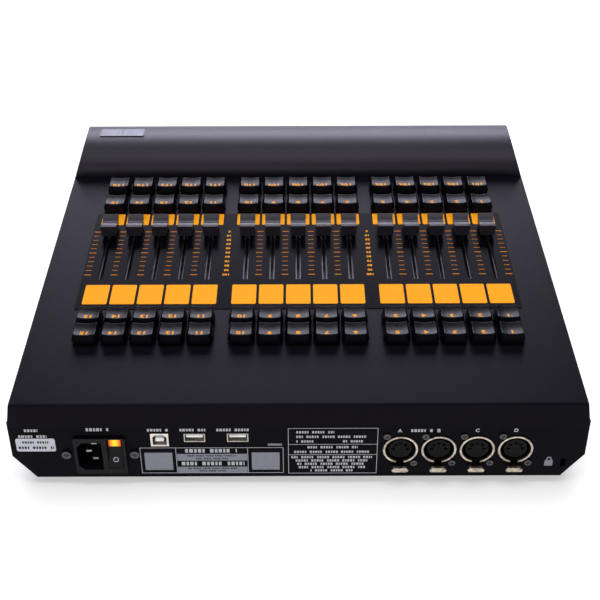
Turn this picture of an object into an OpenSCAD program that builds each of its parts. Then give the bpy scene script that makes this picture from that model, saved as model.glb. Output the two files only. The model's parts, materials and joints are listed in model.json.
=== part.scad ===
// Lighting control desk: a table-top wing with fifteen sliding faders, sixty push keys,
// a palm rest at the user's side and a connector panel at the back.
// Millimetres. +Z up, the user sits at -Y, the connector panel faces +Y.
// Origin: on the table, in the middle of the desk's footprint.

/* [Case] */
// Overall width of the case
case_w = 390; // [388:0.5:396]
// Width of the top plate between its folded flanks
plate_w = 380.6; // [379:0.2:382]
// Height from the underside of the case to the top plate
case_h = 69; // [68:0.5:74]
// Depth from the connector panel to the front of the palm rest
case_d = 380; // [378:1:386]
// Sheet thickness of the cover, tray and panel
sheet = 2; // [1.5:0.1:2.2]
// How far the cover's rear lip stands out over the connector panel
lip_out = 4.5; // [4:0.1:6]
// Height of the cover's rear lip and sloping flanks
lip_h = 18.8; // [17:0.2:20]
// Width of the chamfer along the underside
chamfer_w = 14.6; // [10:0.2:18]
// Height of the chamfer along the underside
chamfer_h = 19.8; // [14:0.2:22]
// Height of the rubber feet
foot_h = 7; // [5:0.5:10]
// Diameter of the rubber feet
foot_d = 20; // [16:1:24]

/* [Palm rest] */
// Height of the palm rest above the top plate
rest_h = 22; // [18:0.5:26]
// Depth of the rest's steep side, from its foot to its crest
rest_rise = 35; // [30:1:40]
// Depth of the rest's user side, from its crest to the nose
rest_fall = 53; // [50:1:56]
// How much each end leans in for each millimetre of height
rest_lean = 0.35; // [0.2:0.05:0.4]
// Wall of the hollow palm rest
rest_wall = 2.5; // [2:0.1:3.5]

/* [Columns] */
// Number of column groups
groups = 3; // [2:1:3]
// Columns in each group
per_group = 5; // [4:1:5]
// Distance between two columns of a group
column_pitch = 20; // [19.5:0.1:20.5]
// Distance between the middles of two groups
group_pitch = 109; // [106:0.5:110]

/* [Faders] */
// Travel of each fader
fader_travel = 60; // [50:1:60]
// Distance from the panel to the middle of a fader cap pulled down to zero
fader_zero = 205; // [204:0.5:206]
// Width of the slot in the top plate
slot_w = 4; // [3.5:0.1:5]
// Width of a fader cap
cap_w = 12.4; // [11:0.2:13]
// Length of a fader cap along its travel
cap_l = 19.4; // [17:0.2:20]
// Height of a cap's ends above the plate
cap_top = 11.4; // [10:0.2:13]
// Height of the hollow in the middle of a cap above the plate
cap_valley = 9; // [8:0.2:10]
// Gap between the plate and a fader cap
cap_lift = 2.6; // [2:0.1:3.5]
// Thickness of the fader lever
lever_t = 1.2; // [1:0.1:1.6]
// Length of the fader lever along its travel
lever_l = 4; // [3:0.5:5]

/* [Keys] */
// Size of a key's top, across and along
key_top = [15.3, 14.3]; // [13:0.1:16]
// Size of a key's foot, across and along
key_foot = [19.3, 17.9]; // [17:0.1:19.5]
// Height of a key's top corners above the plate
key_rise = 9.3; // [9.3:0.1:10]
// Gap below a key at rest
key_gap = 1.8; // [1.7:0.1:2.2]
// Travel of each key
key_travel = 1.5; // [1:0.1:1.5]
// Depth of the dish in a key's top, below its corners
key_dish = 1.8; // [1.2:0.1:1.8]
// Distance from the panel to the middle of the rearmost key row
row_1 = 66.85; // [66:0.05:68]
// Distance between the two rear key rows
rear_pitch = 19.5; // [19:0.1:20]
// Distance from the panel to the middle of the third key row
row_3 = 241.5; // [241:0.1:243]
// Distance between the two front key rows
front_pitch = 28; // [26:0.5:28]

/* [Overlay] */
// Distance from the panel to the overlay's rear edge
overlay_rear = 101.5; // [101:0.1:104]
// Distance from the panel to the overlay's front edge
overlay_front = 232; // [230:0.1:232]
// Width of the overlay
overlay_w = 325.4; // [322:0.2:330]
// Thickness of the overlay
overlay_t = 0.4; // [0.3:0.1:0.6]
// Width of a write-on field
field_w = 18; // [16:0.2:19]

/* [Connectors] */
// Distance between two output sockets
xlr_pitch = 26; // [26:0.2:27]
// Outer diameter of an output socket's metal ring
xlr_d = 23.7; // [23:0.1:24]
// Inner diameter of the ring
xlr_bore = 21; // [20.4:0.1:21.4]
// Diameter of the contact insert
xlr_core = 16; // [15:0.1:16.4]
// Travel of an output socket's latch button
latch_travel = 1.5; // [1:0.1:1.8]
// Width of the power inlet's bezel
inlet_w = 35.2; // [35:0.1:36]
// Height of the power inlet's bezel
inlet_h = 31.9; // [31:0.1:33]
// Angle that the power rocker stands over at each end
rocker_tilt = 8; // [6:0.5:9]

/* [Hidden] */
$fn = 48;
part_gap = 0.2;
eps = 0.01;
columns = groups * per_group;
plate_z = foot_h + case_h;
y_panel = (case_d - lip_out) / 2;
y_front = y_panel - case_d;
half_w = case_w / 2;
half_plate = plate_w / 2;
cover_inset = 1.4;
flank_out = half_w - half_plate - cover_inset;
panel_play = 0.4;
chamfer_angle = atan2(chamfer_w, chamfer_h);
side_shift = tan(chamfer_angle / 2);
floor_shift = tan((90 - chamfer_angle) / 2);
fold_r = 1.6;
cover_front = 370;
overlay_z = plate_z + overlay_t;
field_t = 0.15;
field_r = 1.2;
near_field = [107.2, 131.6];
far_field = [215, 231.2];
key_rows = [row_1, row_1 + rear_pitch, row_3, row_3 + front_pitch];
window = [14.4, 13.4];
slot_play = 6.3;
key_roof = 1.4;
switch_size = [12.4, 11.6, 12];
switch_top = 4.4;
stem_d = 4;
stem_hole = 5;
board_t = 1.6;
key_board_z = plate_z + switch_top - switch_size[2] - board_t;
pot_z = plate_z - sheet - 1.3;
pot_size = [10, 84, 9];
pot_wall = 1;
pot_slit = 2.2;
pot_u = fader_zero - fader_travel / 2;
fader_board_z = pot_z - pot_size[2] - board_t;
// Power inlet: middle of its bezel, its lead socket, its rocker and its body behind the panel
inlet_x = 134.5;
inlet_z = plate_z - 47.85;
bezel_t = 2.2;
inlet_body = [33, 24, 30.6];
socket_x = 141.6;
socket_size = [16.9, 24.6];
socket_corner = 4;
socket_depth = 18;
rocker_x = 124.25;
rocker_z = plate_z - 45.8;
rocker_size = [9.8, 24.4];
rocker_well = [10.4, 26];
rocker_depth = 3.2;
trunnion_r = 1.5;
trunnion_play = 0.05;
pin_r = 7;
pin_set = 4;
pin_x = 139.2;
pin_size = [4, 26.5, 2];
pin_tip = 3.5;
inlet_screw_x = 23.2;
inlet_screw_rise = 0.6;
// USB sockets: the middle of each mouth
usb_b = [93.65, plate_z - 34.25];
usb_b_size = [12.2, 11.4];
usb_a = [[70.05, plate_z - 32.4], [40.95, plate_z - 32.4]];
usb_a_size = [14.2, 7.2];
usb_wall = 0.5;
usb_proud = 0.8;
tongue_set = 0.5;
// Output sockets
xlr_x = -69.1;
xlr_z = plate_z - 43.9;
xlr_screw = [9.5, 12];
xlr_flange = [25.6, 31, 1.6];
xlr_depth = 24;
key_slot_w = 4.7;
latch_size = [11.6, 3.4, 3];
latch_z = xlr_z - 15.4;
latch_out = 5.2;
lock_slot = [-180.85, plate_z - 56.6, 3.4, 7.4];
main_board_z = usb_b[1] - usb_b_size[1] / 2 - board_t;
tray_floor = foot_h + sheet;
fader_names = [for (i = [1:columns]) str("fader_", i < 10 ? "0" : "", i)];
key_names = [for (r = [1:4], g = [1:groups]) str("keys_row", r, "_group", g)];
latch_names = ["latch_a", "latch_b", "latch_c", "latch_d"];

// Y of a place that lies u forward of the connector panel
function yu(u) = y_panel - u;

// X of column i, counted from the user's left from 0
function column_x(i) =
    (floor(i / per_group) - (groups - 1) / 2) * group_pitch
    + (i % per_group - (per_group - 1) / 2) * column_pitch;

// Points of an elliptic arc about c, from angle a0 to a1 in n steps
function arc(c, ra, rb, a0, a1, n) =
    [for (i = [0:n]) let (a = a0 + (a1 - a0) * i / n) [c[0] + ra * cos(a), c[1] + rb * sin(a)]];

// A profile drawn in Y and Z, extruded along X about the middle
module along_x(w) {
    rotate([90, 0, 90]) linear_extrude(w, center = true) children();
}

// A profile drawn in X and Z, extruded from y0 to y1
module along_y(y0, y1) {
    translate([0, y1, 0]) rotate([90, 0, 0]) linear_extrude(y1 - y0) children();
}

// A box from its lowest corner to its highest
module box(lo, hi) {
    translate(lo) cube(hi - lo);
}

// A rectangle with true round corners
module round_rect(size, r) {
    square([size[0] - 2 * r, size[1]], center = true);
    square([size[0], size[1] - 2 * r], center = true);
    for (sx = [-1, 1], sy = [-1, 1])
        translate([sx * (size[0] / 2 - r), sy * (size[1] / 2 - r)]) circle(r);
}

// A cylinder along Y, from u0 to u1 forward of the panel, at x and z
module bar_y(x, z, u0, u1, d) {
    translate([x, yu(u0), z]) rotate([90, 0, 0]) cylinder(h = u1 - u0, d = d);
}

// ---- Case ----

// Cross-section of the cover, inset by t from its outside
module cover_section(t) {
    low = plate_z - lip_h;
    polygon([
        [-half_plate + t, plate_z - t], [-half_plate - flank_out + t, low - t],
        [half_plate + flank_out - t, low - t], [half_plate - t, plate_z - t]
    ]);
}

// Side view of the cover with its two folds
module cover_side() {
    y1 = y_panel + lip_out;
    y0 = yu(cover_front);
    polygon(concat(
        [[y1, plate_z - lip_h]],
        arc([y1 - fold_r, plate_z - fold_r], fold_r, fold_r, 0, 90, 6),
        arc([y0 + fold_r, plate_z - fold_r], fold_r, fold_r, 90, 180, 6),
        [[y0, plate_z - lip_h]]
    ));
}

module fader_slots(h) {
    slot_l = fader_travel + 2 * slot_play;
    for (i = [0:columns - 1])
        translate([column_x(i), yu(pot_u), plate_z])
            cube([slot_w, slot_l, h], center = true);
}

module top_cover() {
    color("#2b2930")
    difference() {
        intersection() {
            along_y(yu(cover_front), y_panel + lip_out) cover_section(0);
            along_x(case_w) cover_side();
        }
        along_y(yu(cover_front) + sheet, y_panel + lip_out - sheet) cover_section(sheet);
        fader_slots(3 * sheet);
        for (u = key_rows, i = [0:columns - 1])
            translate([column_x(i), yu(u), plate_z])
                cube([window[0], window[1], 3 * sheet], center = true);
    }
}

// Outline of the case seen from behind, below the cover
module tray_section(t) {
    high = plate_z - lip_h - part_gap;
    low = foot_h + t;
    bend = foot_h + chamfer_h + t * side_shift;
    floor_x = half_w - chamfer_w - t * floor_shift;
    polygon([
        [-half_w + t, high + t], [-half_w + t, bend], [-floor_x, low],
        [floor_x, low], [half_w - t, bend], [half_w - t, high + t]
    ]);
}

// Side view of the tray, with the chamfer under the nose; its inside is open to the panel
module tray_side(t) {
    high = plate_z - lip_h - part_gap;
    back = t > 0 ? y_panel + 1 : yu(sheet);
    polygon([
        [back, high + t], [back, foot_h + t],
        [y_front + chamfer_w + t * floor_shift, foot_h + t],
        [y_front + t, foot_h + chamfer_h + t * side_shift], [y_front + t, high + t]
    ]);
}

foot_places = [for (sx = [-1, 1], u = [28, 350]) [sx * 158, yu(u)]];
side_screw_us = [45, 190, 335];
side_head_d = 5.6;
side_head_h = 1.5;
screw_z = plate_z - lip_h - 11;

module base_tray() {
    color("#26242a")
    difference() {
        intersection() {
            along_y(y_front, yu(sheet)) tray_section(0);
            along_x(case_w) tray_side(0);
        }
        intersection() {
            along_y(y_front, y_panel) tray_section(sheet);
            along_x(case_w) tray_side(sheet);
        }
        for (p = foot_places)
            translate([p[0], p[1], foot_h - 1]) cylinder(h = sheet + 2, d = 3.4);
        for (sx = [-1, 1], u = side_screw_us)
            translate([sx * half_w, yu(u), screw_z]) rotate([0, -sx * 90, 0]) {
                translate([0, 0, -eps]) cylinder(h = side_head_h, d1 = side_head_d + 0.2, d2 = 3.4);
                cylinder(h = 2 * sheet, d = 3.4);
            }
    }
}

module rear_panel() {
    seam_z = plate_z - lip_h - part_gap;
    top_x = half_plate - sheet - panel_play;
    step_x = half_w - cover_inset - sheet - panel_play;
    color("#1c1b20")
    difference() {
        along_y(yu(sheet), y_panel) {
            difference() {
                polygon([
                    [-top_x, plate_z - sheet - part_gap], [-step_x, seam_z], [-half_w, seam_z],
                    [-half_w, foot_h + chamfer_h], [-half_w + chamfer_w, foot_h],
                    [half_w - chamfer_w, foot_h], [half_w, foot_h + chamfer_h],
                    [half_w, seam_z], [step_x, seam_z], [top_x, plate_z - sheet - part_gap]
                ]);
                translate([inlet_x, inlet_z])
                    square([inlet_body[0] + 0.4, inlet_body[2] + 0.4], center = true);
                translate(usb_b) square(usb_b_size + [0.4, 0.4], center = true);
                for (p = usb_a) translate(p) square(usb_a_size + [0.4, 0.4], center = true);
                translate([lock_slot[0], lock_slot[1]])
                    round_rect([lock_slot[2], lock_slot[3]], 1);
                for (k = [0:3]) translate([xlr_x - k * xlr_pitch, xlr_z - xlr_d / 2 - 1.5])
                    square([key_slot_w + 0.6, 10], center = true);
            }
        }
        for (k = [0:3]) {
            x = xlr_x - k * xlr_pitch;
            bar_y(x, xlr_z, -1, sheet + 1, xlr_d + 0.4);
            for (s = [-1, 1]) bar_y(x + s * xlr_screw[0], xlr_z + s * xlr_screw[1], -1, sheet + 1, 3.2);
        }
        for (s = [-1, 1])
            bar_y(inlet_x + s * inlet_screw_x, inlet_z + inlet_screw_rise, -1, sheet + 1, 3.4);
    }
}

// ---- Palm rest ----

rest_foot = case_d - rest_fall - rest_rise;
rest_crest = case_d - rest_fall;

// Side view of the rest, inset by t: a steep quarter ellipse and a long rounded nose
module rest_side(t) {
    crest = [yu(rest_crest), plate_z];
    nose = [yu(rest_crest), plate_z - lip_h];
    bottom = t > 0 ? plate_z - 2 * lip_h : plate_z - lip_h;
    step = t > 0 ? bottom : plate_z;
    polygon(concat(
        arc(crest, rest_rise - t, rest_h - t, 0, 90, 20),
        arc(nose, rest_fall - t, rest_h + lip_h - t, 90, 180, 24),
        [[y_front + t, bottom], [yu(cover_front) - 0.5, bottom], [yu(cover_front) - 0.5, step]],
        t > 0 ? [[yu(rest_foot + t), bottom]] : []
    ));
}

// End view of the rest, inset by t
module rest_ends(t) {
    side = half_w - cover_inset;
    polygon([
        [t - side, plate_z - 2 * lip_h], [t - side, plate_z - lip_h],
        [-half_plate + t, plate_z], [-half_plate + rest_lean * rest_h + t, plate_z + rest_h + 1],
        [half_plate - rest_lean * rest_h - t, plate_z + rest_h + 1], [half_plate - t, plate_z],
        [side - t, plate_z - lip_h], [side - t, plate_z - 2 * lip_h]
    ]);
}

module palm_rest() {
    color("#34323a")
    difference() {
        intersection() {
            along_y(y_front - 1, yu(rest_foot) + 1) rest_ends(0);
            along_x(case_w) rest_side(0);
        }
        intersection() {
            along_y(y_front - 1, yu(rest_foot) + 1) rest_ends(rest_wall);
            along_x(case_w) rest_side(rest_wall);
        }
        badge_place() linear_extrude(3)
            square([badge_size[0] + part_gap, badge_size[1] + part_gap], center = true);
    }
}

// A plain two-field badge that lies in a shallow pocket on the crest
badge_x = 152.4;
badge_u = 331.3;
badge_size = [37.7, 13.8, 1];
badge_sink = 0.8;
badge_tilt = 3.6;
badge_groove = [0.8, 0.6];

module badge_place() {
    translate([badge_x, yu(badge_u), plate_z + rest_h - badge_sink])
        rotate([badge_tilt, 0, 0]) children();
}

module badge_plate() {
    color("#a9a9ae")
    badge_place() difference() {
        linear_extrude(badge_size[2]) round_rect([badge_size[0], badge_size[1]], 0.8);
        translate([0, 0, badge_size[2]])
            cube([badge_groove[0], badge_size[1] + 1, badge_groove[1]], center = true);
    }
}

// ---- Overlay and write-on fields ----

module fader_overlay() {
    mid = (overlay_rear + overlay_front) / 2;
    color("#2f2d35")
    difference() {
        translate([0, yu(mid), plate_z])
            linear_extrude(overlay_t) round_rect([overlay_w, overlay_front - overlay_rear], 1.5);
        fader_slots(4 * overlay_t);
    }
}

module label_fields() {
    color("#f9a61c")
    for (i = [0:columns - 1], f = [near_field, far_field])
        translate([column_x(i), yu((f[0] + f[1]) / 2), overlay_z])
            linear_extrude(field_t) round_rect([field_w, f[1] - f[0]], field_r);
}

// ---- Keys ----

// Outline of a key's foot: a rectangle with long cut corners
module key_foot_outline() {
    a = key_foot[0] / 2;
    b = key_foot[1] / 2;
    cut = [2.4, 5.5];
    polygon([
        [a, b - cut[1]], [a - cut[0], b], [cut[0] - a, b], [-a, b - cut[1]],
        [-a, cut[1] - b], [cut[0] - a, -b], [a - cut[0], -b], [a, cut[1] - b]
    ]);
}

// One hollow key, at its own place in X and Y: sloping sides, a dished top, a stem below
module key_cap() {
    dish_r = (pow(key_top[0] / 2, 2) + pow(key_top[1] / 2, 2) + pow(key_dish, 2)) / (2 * key_dish);
    top = plate_z + key_rise;
    low = plate_z + key_gap;
    roof = top - key_dish - key_roof;
    difference() {
        hull() {
            translate([0, 0, top - eps]) linear_extrude(eps)
                square(key_top, center = true);
            translate([0, 0, low]) linear_extrude(eps) key_foot_outline();
        }
        translate([0, 0, top - key_dish + dish_r]) sphere(dish_r, $fn = 96);
        translate([0, 0, low - 1 + (roof - low + 1) / 2])
            cube([switch_size[0] + 0.8, switch_size[1] + 0.8, roof - low + 1], center = true);
    }
    translate([0, 0, roof - 4]) cylinder(h = 4 + eps, d = stem_d);
}

module key_group(row, g) {
    color("#3a383d")
    for (c = [0:per_group - 1])
        translate([column_x(g * per_group + c), yu(key_rows[row]), 0]) key_cap();
}

module key_switches() {
    top = plate_z + switch_top;
    color("#15151a")
    for (u = key_rows, i = [0:columns - 1])
        translate([column_x(i), yu(u), 0])
            difference() {
                translate([0, 0, top - switch_size[2] / 2]) cube(switch_size, center = true);
                translate([0, 0, top - 4.5]) cylinder(h = 5, d = stem_hole);
            }
}

module key_board(u0, u1) {
    color("#1f5a35")
    box([-160, yu(u1), key_board_z], [160, yu(u0), key_board_z + board_t]);
}

module rear_key_board() {
    key_board(row_1 - 11, row_1 + rear_pitch + 11);
}

module front_key_board() {
    key_board(row_3 - 11, row_3 + front_pitch + 11);
}

// ---- Faders ----

// Side view of a fader cap: upright ends and a shallow hollow between them
module fader_cap_side() {
    half_l = cap_l / 2;
    drop = cap_top - cap_valley;
    r = (pow(half_l - 1, 2) + pow(drop, 2)) / (2 * drop);
    sweep = asin((half_l - 1) / r);
    polygon(concat(
        [[-half_l, cap_lift], [half_l, cap_lift], [half_l, cap_top - 0.5]],
        arc([0, cap_valley + r], r, r, -90 + sweep, -90 - sweep, 16),
        [[-half_l, cap_top - 0.5]]
    ));
}

// Fader i with its cap, its lever and the carriage that runs in the potentiometer
module fader(i) {
    color("#3c3a40")
    translate([column_x(i), yu(fader_zero), plate_z]) {
        difference() {
            along_x(cap_w) fader_cap_side();
            translate([0, 0, cap_valley]) cube([cap_w + 1, 0.8, 0.9], center = true);
            translate([0, 0, cap_lift + 1.6])
                cube([cap_w - 2.4, cap_l - 2.4, 4.8], center = true);
        }
        translate([-lever_t / 2, -lever_l / 2, -sheet - 5])
            cube([lever_t, lever_l, sheet + 5 + cap_valley - 1.5]);
        translate([-3, -5, -sheet - 8]) cube([6, 10, 3.2]);
    }
}

module slide_potentiometers() {
    color("#8b8b90")
    for (i = [0:columns - 1])
        translate([column_x(i), yu(pot_u), pot_z - pot_size[2] / 2])
            difference() {
                cube(pot_size, center = true);
                cube(pot_size - 2 * pot_wall * [1, 1, 1], center = true);
                translate([0, 0, pot_size[2] / 2])
                    cube([pot_slit, fader_travel + 2 * slot_play, 3 * pot_wall], center = true);
            }
}

module fader_board() {
    color("#1f5a35")
    box([-160, yu(pot_u + 46), fader_board_z], [160, yu(pot_u - 46), fader_board_z + board_t]);
}

// ---- Boards and wiring ----

module main_board() {
    color("#1f5a35")
    box([-50, yu(104), main_board_z], [108, yu(8), main_board_z + board_t]);
}

// Chips, capacitors and ribbon headers on the main board: middle x, middle u, size
header_h = 6;
board_parts = [
    [10, 45, [22, 22, 2.2]], [45, 62, [16, 16, 1.8]], [75, 45, [12, 9, 2]],
    [-25, 40, [14, 10, 2]], [-20, 70, [9, 9, 6]], [92, 70, [10, 10, 8]],
    [12, 96, [24, 7, header_h]], [50, 96, [24, 7, header_h]], [86, 96, [20, 7, header_h]]
];

module main_board_parts() {
    color("#202024")
    for (p = board_parts)
        translate([p[0], yu(p[1]), main_board_z + board_t + p[2][2] / 2])
            cube(p[2], center = true);
}

supply_z = tray_floor + 6;
supply_lo = [104, 62];
supply_hi = [176, 170];

module power_supply() {
    top = supply_z + board_t;
    color("#7a6a3a") {
        box([supply_lo[0], yu(supply_hi[1]), supply_z], [supply_hi[0], yu(supply_lo[1]), top]);
        box([128, yu(74), top - eps], [156, yu(64), top + 18]);
        box([122, yu(132), top - eps], [158, yu(96), top + 26]);
        box([108, yu(160), top - eps], [112, yu(92), top + 24]);
        for (x = [122, 140, 158]) translate([x, yu(152), top - eps]) cylinder(h = 22, d = 14);
    }
}

// A flat ribbon that follows points [u, z], w wide at x, set off by d for its thickness
module ribbon(x, w, path, d) {
    edge = [for (p = path) [yu(p[0]), p[1]]];
    back = [for (i = [len(path) - 1:-1:0]) [yu(path[i][0]) + d[0], path[i][1] + d[1]]];
    translate([x, 0, 0]) along_x(w) polygon(concat(edge, back));
}

module ribbon_cables() {
    t = 0.7;
    start = main_board_z + board_t + header_h + t;
    dip = fader_board_z - 12;
    low_dip = fader_board_z - 18;
    color("#9a9aa0") {
        ribbon(12, 20, [[96, start], [96, key_board_z - 14], [88, key_board_z]], [t, -t]);
        ribbon(50, 20, [[96, start], [112, dip], [150, dip], [156, fader_board_z]], [-t, -t]);
        ribbon(86, 16, [[96, start], [112, start], [225, low_dip], [246, key_board_z]], [-t, -t]);
        box([-148, yu(34.5), xlr_z - 5], [-50, yu(33.5), xlr_z + 5]);
        box([-50, yu(34.5), main_board_z + board_t], [-40, yu(33.5), xlr_z + 5]);
    }
}

// ---- Power inlet ----

pin_places = [[pin_x + pin_set, 0], [pin_x, pin_r], [pin_x, -pin_r]];

// Outline of the lead socket, with the two cut corners on its earth side
module socket_outline() {
    a = socket_size[0] / 2;
    b = socket_size[1] / 2;
    polygon([[-a, -b], [a - socket_corner, -b], [a, socket_corner - b],
        [a, b - socket_corner], [a - socket_corner, b], [-a, b]]);
}

module power_inlet() {
    color("#121214")
    difference() {
        union() {
            along_y(y_panel, y_panel + bezel_t)
                translate([inlet_x, inlet_z]) round_rect([inlet_w, inlet_h], 1.5);
            along_y(yu(inlet_body[1]), y_panel + eps)
                translate([inlet_x, inlet_z]) square([inlet_body[0], inlet_body[2]], center = true);
        }
        along_y(yu(socket_depth), y_panel + bezel_t + 1)
            translate([socket_x, inlet_z]) socket_outline();
        along_y(yu(inlet_body[1] - 2), y_panel + bezel_t + 1)
            translate([rocker_x, rocker_z]) square(rocker_well, center = true);
        for (p = pin_places)
            translate([p[0], yu(20), inlet_z + p[1]])
                cube([pin_size[0], 16, pin_size[2]], center = true);
        translate([rocker_x, yu(rocker_depth), rocker_z]) rotate([0, 90, 0])
            cylinder(h = rocker_well[0] + 1.6, r = trunnion_r + trunnion_play, center = true);
    }
}

module inlet_pins() {
    color("#c8c8cc")
    for (p = pin_places)
        translate([p[0], yu(pin_tip + pin_size[1] / 2), inlet_z + p[1]])
            cube(pin_size, center = true);
}

// The rocker stands on: its upper half is pressed in
module power_rocker() {
    half = rocker_size[1] / 2;
    color("#ff8a1e")
    translate([rocker_x, yu(rocker_depth), rocker_z]) {
        rotate([rocker_tilt, 0, 0]) along_x(rocker_size[0])
            polygon([[5, half], [5, half - 0.8], [3.7, 0], [5, 0.8 - half], [5, -half],
                [1, -half], [-8, -4], [-8, 4], [1, half]]);
        rotate([0, 90, 0])
            cylinder(h = rocker_well[0] + 1.2, r = trunnion_r, center = true);
    }
}

module mains_wires() {
    color("#4a6fae")
    for (p = pin_places)
        bar_y(p[0], inlet_z + p[1], pin_tip + pin_size[1], 64, 2.6);
}

// ---- Data sockets ----

module usb_sockets() {
    color("#c4c4c8") {
        difference() {
            along_y(yu(16), y_panel + usb_proud) translate(usb_b) square(usb_b_size, center = true);
            along_y(yu(13), y_panel + usb_proud + 1) translate(usb_b) usb_b_mouth();
        }
        for (p = usb_a) difference() {
            along_y(yu(14), y_panel + usb_proud) translate(p) square(usb_a_size, center = true);
            along_y(yu(13), y_panel + usb_proud + 1) translate(p)
                square(usb_a_size - 2 * usb_wall * [1, 1], center = true);
        }
    }
}

// Mouth of the square data socket, with its two cut upper corners
module usb_b_mouth() {
    a = usb_b_size[0] / 2 - 1.4;
    b = usb_b_size[1] / 2 - 1.4;
    cut = 2;
    polygon([[-a, -b], [a, -b], [a, b - cut], [a - cut, b], [cut - a, b], [-a, b - cut]]);
}

module usb_tongues() {
    mouth = y_panel + usb_proud - tongue_set;
    color("#f2f2f0") {
        along_y(yu(13), mouth) translate(usb_b) square([5.6, 3.2], center = true);
        for (p = usb_a)
            along_y(yu(13), mouth) translate([p[0], p[1] + 1]) square([11.2, 1.9], center = true);
    }
}

// ---- Output sockets ----

module xlr_housings() {
    color("#c6c2b8")
    for (k = [0:3]) {
        x = xlr_x - k * xlr_pitch;
        difference() {
            union() {
                bar_y(x, xlr_z, -0.9, xlr_depth, xlr_d);
                along_y(yu(sheet + xlr_flange[2]), yu(sheet)) translate([x, xlr_z])
                    square([xlr_flange[0], xlr_flange[1]], center = true);
            }
            bar_y(x, xlr_z, -1.5, xlr_depth - 3, xlr_bore);
            for (s = [-1, 1])
                bar_y(x + s * xlr_screw[0], xlr_z + s * xlr_screw[1], 0, sheet + 4, 2.5);
            box([x - key_slot_w / 2 - 0.3, yu(14), latch_z - 4],
                [x + key_slot_w / 2 + 0.3, yu(-2), xlr_z - xlr_core / 2]);
        }
    }
}

// Contact insert with five round contacts spread over half a circle
module xlr_inserts() {
    color("#17171a")
    for (k = [0:3]) {
        x = xlr_x - k * xlr_pitch;
        difference() {
            bar_y(x, xlr_z, 0.4, xlr_depth - 3, xlr_core);
            for (a = [0:45:180])
                bar_y(x + 4.8 * cos(a), xlr_z + 4.8 * sin(a), 0, 12, 2.6);
        }
    }
}

// Latch button of output socket k: a rounded tab outside the panel on a neck
module xlr_latch(k) {
    x = xlr_x - k * xlr_pitch;
    r = latch_size[2] / 2;
    color("#cfc8b8") {
        translate([x, y_panel + latch_out - latch_size[1] / 2, latch_z])
            linear_extrude(latch_size[2], center = true)
                round_rect([latch_size[0], latch_size[1]], 1.65);
        along_y(yu(8), y_panel + latch_out - latch_size[1] / 2)
            translate([x, latch_z]) square([key_slot_w - 0.6, latch_size[2] - 0.4], center = true);
    }
}

module screw(x, z, head_d, head_t, thread_d, length, proud) {
    translate([x, y_panel + proud, z]) rotate([90, 0, 0])
        difference() {
            union() {
                cylinder(h = head_t, d = head_d);
                cylinder(h = length, d = thread_d);
            }
            for (a = [0, 90]) rotate([0, 0, a])
                cube([head_d * 0.6, 0.7, 1.6], center = true);
        }
}

module xlr_screws() {
    color("#2a2a2d")
    for (k = [0:3], s = [-1, 1])
        screw(xlr_x - k * xlr_pitch + s * xlr_screw[0], xlr_z + s * xlr_screw[1],
            4.8, 1.2, 2.4, 7, 1.2);
}

module inlet_screws() {
    color("#2a2a2d")
    for (s = [-1, 1])
        screw(inlet_x + s * inlet_screw_x, inlet_z + inlet_screw_rise, 6.4, 1.6, 3.2, 8, 1.6);
}

// ---- Case hardware ----

// A raised-head screw that points down from z = 0
module pan_screw() {
    difference() {
        union() {
            cylinder(h = 1.8, d = 5.6);
            translate([0, 0, -6]) cylinder(h = 6, d = 3);
        }
        for (a = [0, 90]) rotate([0, 0, a]) translate([0, 0, 1.8])
            cube([3.4, 0.8, 1.8], center = true);
    }
}

// A countersunk screw whose head is flush with z = 0
module flush_screw() {
    difference() {
        union() {
            translate([0, 0, -side_head_h]) cylinder(h = side_head_h, d1 = 3, d2 = side_head_d);
            translate([0, 0, -8]) cylinder(h = 8 - side_head_h + eps, d = 3);
        }
        for (a = [0, 90]) rotate([0, 0, a]) cube([3.4, 0.8, 1.4], center = true);
    }
}

module case_screws() {
    color("#2a2a2d") {
        for (sx = [-1, 1], u = side_screw_us)
            translate([sx * half_w, yu(u), screw_z]) rotate([0, sx * 90, 0]) flush_screw();
        for (p = foot_places)
            translate([p[0], p[1], foot_h - 3]) rotate([180, 0, 0]) pan_screw();
    }
}

module board_spacers() {
    color("#b9b9bd") {
        for (x = [-42, 100], u = [16, 96])
            translate([x, yu(u), tray_floor]) cylinder(h = main_board_z - tray_floor, d = 6);
        for (x = [supply_lo[0] + 5, supply_hi[0] - 5], u = [supply_lo[1] + 5, supply_hi[1] - 5])
            translate([x, yu(u), tray_floor]) cylinder(h = supply_z - tray_floor, d = 6);
        for (s = [-0.5, 0.5], u = [row_1 + rear_pitch / 2, row_3 + front_pitch / 2])
            translate([s * group_pitch, yu(u), key_board_z + board_t])
                cylinder(h = plate_z - sheet - key_board_z - board_t, d = 5);
    }
}

module feet() {
    color("#141414")
    for (p = foot_places)
        translate([p[0], p[1], 0]) difference() {
            cylinder(h = foot_h, d1 = foot_d - 3, d2 = foot_d);
            translate([0, 0, -1]) cylinder(h = foot_h - 2, d = 7);
            cylinder(h = 2 * foot_h, d = 3.4);
        }
}

// ---- Parts ----

top_cover();
base_tray();
rear_panel();
palm_rest();
badge_plate();
fader_overlay();
label_fields();
key_switches();
slide_potentiometers();
rear_key_board();
front_key_board();
fader_board();
main_board();
main_board_parts();
power_supply();
ribbon_cables();
mains_wires();
power_inlet();
inlet_pins();
power_rocker();
usb_sockets();
usb_tongues();
xlr_housings();
xlr_inserts();
xlr_screws();
inlet_screws();
case_screws();
board_spacers();
feet();
for (k = [0:3])
    xlr_latch(k);
for (r = [0:3], g = [0:groups - 1])
    key_group(r, g);
for (i = [0:columns - 1])
    fader(i);
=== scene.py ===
import json
import math

import bmesh
import bpy
from mathutils import Matrix, Vector


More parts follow.
